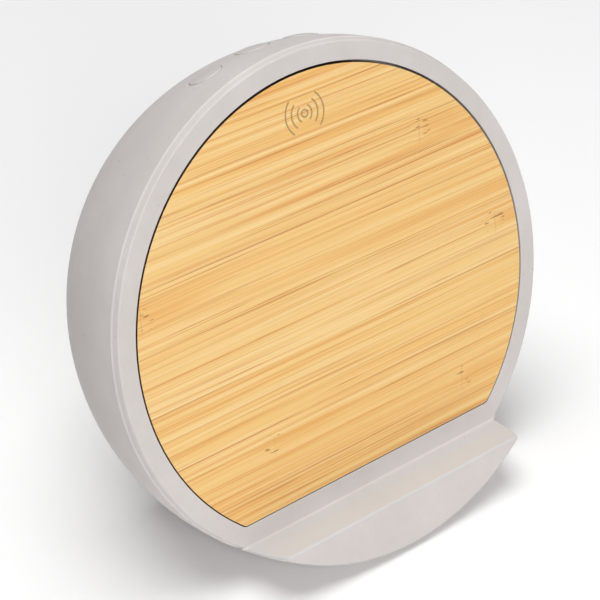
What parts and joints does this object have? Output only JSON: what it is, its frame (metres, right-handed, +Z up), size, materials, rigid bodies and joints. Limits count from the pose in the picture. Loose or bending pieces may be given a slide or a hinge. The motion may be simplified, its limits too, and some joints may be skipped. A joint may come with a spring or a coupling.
{
  "type": "wireless charging stand with loudspeaker",
  "caption": "Upright round phone charger: a leaning cement sphere slice with a bamboo charging face, a shallow phone ledge, top push buttons and a rear loudspeaker grille.",
  "frame": {"origin": "centre of the foot pad underside, on the surface the stand rests on", "axes": "+Z up, the bamboo face looks towards -Y and leans back 16.4 degrees, +X to the right as seen from the front"},
  "size_m": [0.1202, 0.0782, 0.1111],
  "materials": {
    "cement": "fine cast cement, matte, lightly pitted",
    "bamboo": "laminated bamboo strips, satin oil",
    "adhesive": "clear double-sided tape",
    "black_plastic": "moulded, fine grain",
    "grey_plastic": "moulded, fine grain, tinted to match the cement",
    "button_plastic": "soft-touch coat in the body colour",
    "ferrite": "pressed ferrite sheet",
    "copper": "enamelled copper wire",
    "brass": "turned brass",
    "steel": "zinc-plated",
    "plated_steel": "nickel-plated",
    "black_metal": "black powder coat",
    "circuit_board": "green solder mask",
    "chip": "epoxy packages",
    "clear_plastic": "clear polycarbonate",
    "battery_wrap": "shrink film",
    "foam": "closed-cell foam",
    "paper_cone": "coated paper pulp",
    "soft_rubber": "thin butyl rubber",
    "amber_film": "polyimide film",
    "foot_rubber": "matte silicone"
  },
  "bodies": {
    "root": {"bamboo_panel": "bamboo", "battery_cell": "battery_wrap", "battery_pad": "foam", "board_screws": "steel", "body_shell": "cement", "bracket_inserts": "brass", "bracket_screws": "steel", "button_bracket": "black_plastic", "button_flex": "amber_film", "charger_board": "circuit_board", "charger_board_parts": "chip", "charging_coil": "copper", "chassis_inserts": "brass", "chassis_screws": "steel", "cover_inserts": "brass", "cover_screws": "steel", "cover_seal": "foam", "ferrite_sheet": "ferrite", "foot_pad": "foot_rubber", "inner_chassis": "black_plastic", "light_pipe": "clear_plastic", "magnet": "plated_steel", "main_board": "circuit_board", "main_board_parts": "chip", "microphone": "steel", "motor_cup": "plated_steel", "panel_tape": "adhesive", "pole_plate": "plated_steel", "rear_cover": "grey_plastic", "speaker_basket": "black_metal", "speaker_screws": "steel", "speaker_seal": "foam", "speaker_surround": "soft_rubber", "status_led": "clear_plastic", "tact_switches": "plated_steel", "usb_board": "circuit_board", "usb_socket": "steel"},
    "left_button": {"button_left": "button_plastic", "plunger_left": "black_plastic"},
    "middle_button": {"button_middle": "button_plastic", "plunger_middle": "black_plastic"},
    "right_button": {"button_right": "button_plastic", "plunger_right": "black_plastic"},
    "speaker_diaphragm": {"speaker_cone": "paper_cone", "dust_cap": "paper_cone", "voice_coil": "copper"}
  },
  "joints": [
    {"name": "button_left_press", "type": "slide", "parent": "root", "child": "left_button", "axis": [0.2501, -0.4313, -0.8669], "range_m": [0, 0.00035], "stiffness_N_per_m": 1000},
    {"name": "button_middle_press", "type": "slide", "parent": "root", "child": "middle_button", "axis": [0.0275, -0.4403, -0.8974], "range_m": [0, 0.00035], "stiffness_N_per_m": 1000},
    {"name": "button_right_press", "type": "slide", "parent": "root", "child": "right_button", "axis": [-0.1965, -0.4348, -0.8788], "range_m": [0, 0.00035], "stiffness_N_per_m": 1000},
    {"name": "diaphragm_stroke", "type": "slide", "parent": "root", "child": "speaker_diaphragm", "axis": [0, 0.9592, -0.2828], "range_m": [-0.0008, 0.0008], "stiffness_N_per_m": 1000, "deforming": ["speaker_surround"]}
  ]
}
